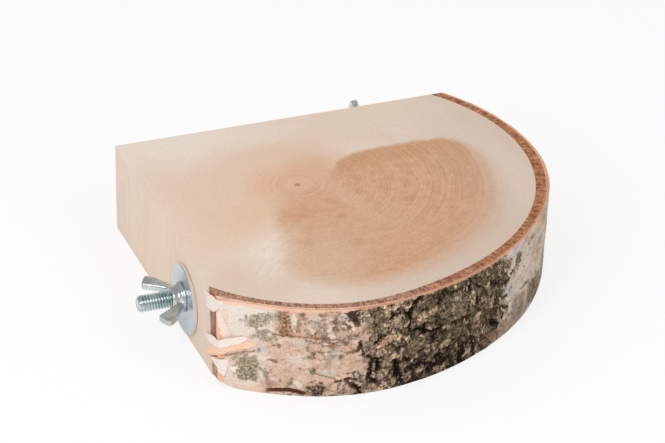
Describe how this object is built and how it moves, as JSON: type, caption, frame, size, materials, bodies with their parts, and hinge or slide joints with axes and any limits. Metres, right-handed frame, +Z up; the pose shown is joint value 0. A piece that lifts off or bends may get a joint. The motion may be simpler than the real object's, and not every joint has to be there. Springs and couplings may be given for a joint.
{
  "type": "bird perch",
  "caption": "Corner perch for a bird cage: a quarter-cut slice of birch log with its bark on, clamped to the bars by studs with wide washers and wing nuts.",
  "frame": {"origin": "on the bottom face, at the centre the log's outline is drawn from", "axes": "+X to the right along the back sawn face, +Y out of the back sawn face, +Z up out of the top face; -X out of the left sawn face"},
  "size_m": [0.1577, 0.1561, 0.033],
  "materials": {
    "bare_wood": "sanded pale birch with a pinkish heart stain",
    "inner_bark": "dull speckled brown inner bark",
    "cork": "dull salmon cork",
    "outer_bark": "white papery bark with rough dark furrowed plates and lichen",
    "papery_bark": "thin white peeled bark",
    "torn_bark": "thin orange torn bark",
    "zinc_plated_steel": "bright blue-grey zinc plate"
  },
  "bodies": {
    "perch": {"wood_slab": "bare_wood", "inner_bark": "inner_bark", "cork_layer": "cork", "outer_bark": "outer_bark", "upper_bark_flap": "papery_bark", "middle_bark_strip": "papery_bark", "torn_bark_strip": "torn_bark", "lower_bark_chip": "papery_bark", "left_hanger_bolt": "zinc_plated_steel", "back_hanger_bolt": "zinc_plated_steel"},
    "left_washer": {"left_washer": "zinc_plated_steel"},
    "left_wing_nut": {"left_wing_nut": "zinc_plated_steel"},
    "back_washer": {"back_washer": "zinc_plated_steel"},
    "back_wing_nut": {"back_wing_nut": "zinc_plated_steel"}
  },
  "joints": [
    {"name": "left_washer_travel", "type": "slide", "parent": "perch", "child": "left_washer", "axis": [-1, 0, 0], "range_m": [0, 0.0116]},
    {"name": "left_nut_turn", "type": "hinge", "parent": "left_washer", "child": "left_wing_nut", "pos_m": [-0.0535, -0.031, 0.0155], "axis": [-1, 0, 0], "range_deg": [0, 4140]},
    {"name": "back_washer_travel", "type": "slide", "parent": "perch", "child": "back_washer", "axis": [0, 1, 0], "range_m": [0, 0.0116]},
    {"name": "back_nut_turn", "type": "hinge", "parent": "back_washer", "child": "back_wing_nut", "pos_m": [0.0405, 0.05, 0.016], "axis": [0, 1, 0], "range_deg": [0, 4140]}
  ],
  "couplings": [
    {"joint": "left_washer_travel", "follows": "left_nut_turn", "m_per_rad": 0.00015915},
    {"joint": "back_washer_travel", "follows": "back_nut_turn", "m_per_rad": 0.00015915}
  ]
}
